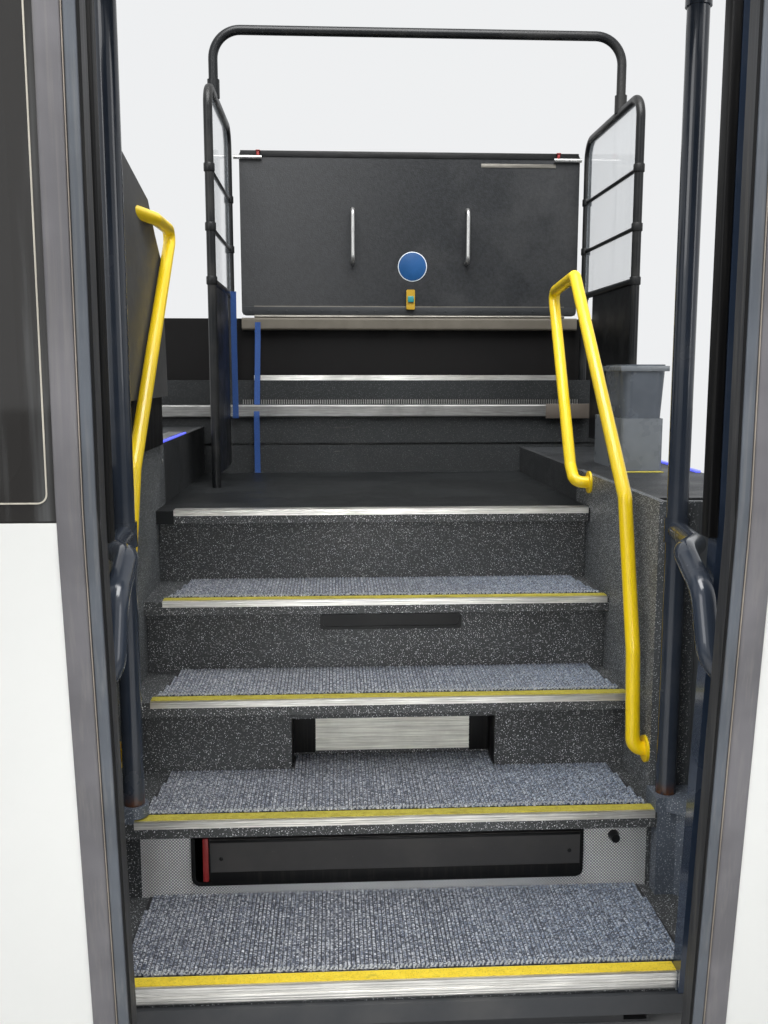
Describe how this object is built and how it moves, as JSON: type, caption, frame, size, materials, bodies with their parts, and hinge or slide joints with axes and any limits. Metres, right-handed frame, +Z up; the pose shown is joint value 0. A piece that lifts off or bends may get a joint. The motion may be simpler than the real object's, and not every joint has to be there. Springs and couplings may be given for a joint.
{
  "type": "bus entrance stairwell",
  "caption": "Stepped entrance of a high-floor bus with swing-out door leaves parked open, handrails, guarded landing, stowed lift and fold-down board.",
  "frame": {"origin": "centre of the four mounting holes on the underside of the base frame", "axes": "+X along the vehicle to the right as seen from the doorway, +Y into the vehicle, +Z up"},
  "size_m": [2.224, 2.524, 2.534],
  "materials": {
    "step_board": "matte vinyl covering with pale flecks",
    "mat": "ribbed loop pile",
    "nosing_metal": "brushed, ribbed",
    "grip_strip": "gritty, worn",
    "patterned_metal": "stucco embossed",
    "frame_paint": "semi-matte",
    "column_paint": "satin grey-blue",
    "rail_coating": "satin coating",
    "guard_coating": "satin coating",
    "wall_cover": "matte vinyl covering with pale flecks",
    "screen_cover": "matte, fine grain",
    "dark_plastic": "grained",
    "seal_rubber": "ribbed, matte",
    "door_paint": "gloss",
    "door_metal": "satin coated",
    "tinted_glass": "tinted",
    "clear_pane": "clear",
    "podium_cover": "matte vinyl covering with pale flecks",
    "rear_cover": "matte dark brown",
    "cream_trim": "satin",
    "board_cover": "fine grain",
    "bright_metal": "brushed",
    "strap_web": "woven webbing",
    "bin_plastic": "satin",
    "lift_paint": "semi-matte, scuffed"
  },
  "bodies": {
    "stairwell": {"base_frame": "frame_paint", "sill_beam": "frame_paint", "side_wall_left": "wall_cover", "side_wall_right": "wall_cover", "tread_1": "step_board", "tread_2": "step_board", "tread_3": "step_board", "tread_4": "step_board", "landing_floor": "step_board", "riser_1": "step_board", "riser_2": "step_board", "riser_3": "step_board", "riser_4": "step_board", "riser_plate": "patterned_metal", "nosings": "nosing_metal", "grip_strips": "grip_strip", "tread_mats": "mat", "lift_cassette": "frame_paint", "lift_platform": "lift_paint", "slat_panel": "nosing_metal", "riser_fittings": "dark_plastic", "podium": "podium_cover", "podium_nosing": "nosing_metal", "heater_casing": "podium_cover", "air_grille": "dark_plastic", "trim_rail": "bright_metal", "rear_wall": "rear_cover", "rear_lining": "rear_cover", "sill_rail": "cream_trim", "deck_left": "wall_cover", "deck_right": "wall_cover", "guard_left": "guard_coating", "guard_right": "guard_coating", "guard_panes": "clear_pane", "guard_panels": "dark_plastic", "arch_tube": "guard_coating", "door_posts": "door_metal", "door_header": "frame_paint", "corner_brackets": "dark_plastic", "side_screen": "screen_cover", "handrail_left": "rail_coating", "handrail_right": "rail_coating", "bin_holder": "dark_plastic", "waste_bin": "bin_plastic", "straps": "strap_web"},
    "column_left": {"column_left": "column_paint"},
    "column_right": {"column_right": "column_paint"},
    "leaf_left": {"leaf_frame_left": "door_metal", "leaf_panel_left": "door_paint", "leaf_glass_left": "tinted_glass", "leaf_seal_left": "seal_rubber"},
    "leaf_right": {"leaf_frame_right": "door_metal", "leaf_panel_right": "door_paint", "leaf_glass_right": "tinted_glass", "leaf_seal_right": "seal_rubber"},
    "board_fold": {"board": "board_cover", "board_hinge": "bright_metal", "board_fittings": "bright_metal", "board_latch": "bright_metal"}
  },
  "joints": [
    {"name": "column_left_turn", "type": "hinge", "parent": "stairwell", "child": "column_left", "pos_m": [-0.604, -0.8, 0.4], "axis": [0, 0, 1], "range_deg": [0, 60.42]},
    {"name": "column_right_turn", "type": "hinge", "parent": "stairwell", "child": "column_right", "pos_m": [0.634, -0.8, 0.4], "axis": [0, 0, -1], "range_deg": [0, 60.42]},
    {"name": "leaf_left_turn", "type": "hinge", "parent": "column_left", "child": "leaf_left", "pos_m": [-0.75482, -1.294, 0.7], "axis": [0, 0, 1], "range_deg": [-60.42, 0]},
    {"name": "leaf_right_turn", "type": "hinge", "parent": "column_right", "child": "leaf_right", "pos_m": [0.78482, -1.294, 0.7], "axis": [0, 0, -1], "range_deg": [-60.42, 0]},
    {"name": "board_fold", "type": "hinge", "parent": "stairwell", "child": "board_fold", "pos_m": [0, 1.056, 1.5833], "axis": [1, 0, 0], "range_deg": [0, 90]}
  ],
  "couplings": [
    {"joint": "leaf_left_turn", "follows": "column_left_turn", "ratio": -1},
    {"joint": "leaf_right_turn", "follows": "column_right_turn", "ratio": -1}
  ]
}
